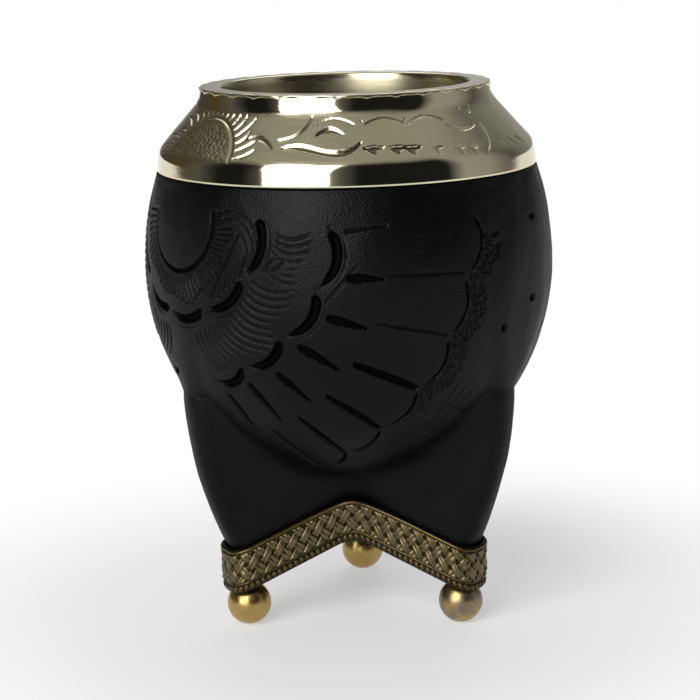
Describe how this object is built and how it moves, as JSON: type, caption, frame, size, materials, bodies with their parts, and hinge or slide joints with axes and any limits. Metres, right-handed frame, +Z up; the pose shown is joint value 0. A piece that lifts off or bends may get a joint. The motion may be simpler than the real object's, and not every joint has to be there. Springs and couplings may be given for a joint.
{
  "type": "mate gourd",
  "caption": "Calabash drinking cup in a tooled leather cover drawn out into tripod legs, with a chased metal collar round the mouth and a braided brass band above ball feet.",
  "frame": {"origin": "on the floor, under the middle of the cup", "axes": "+Z up along the cup's axis, -Y to the front, midway between two legs, +X to the right as seen from the front"},
  "size_m": [0.0982, 0.0982, 0.1292],
  "materials": {
    "calabash": "dry calabash, cured inside",
    "black_leather": "black tooled leather, semi-matte",
    "block_wood": "plain wood",
    "sole_leather": "dark flat leather",
    "aged_brass": "stamped brass, darkened in the hollows",
    "ball_brass": "polished brass",
    "nickel_silver": "polished and satin nickel silver",
    "lip_metal": "polished nickel silver, warm"
  },
  "bodies": {
    "root": {"gourd_shell": "calabash", "leather_cover": "black_leather", "base_block": "block_wood", "sole": "sole_leather", "trim_band": "aged_brass", "ball_foot_left": "ball_brass", "ball_foot_right": "ball_brass", "ball_foot_rear": "ball_brass", "collar_shell": "nickel_silver", "mouth_liner": "lip_metal"}
  },
  "joints": []
}
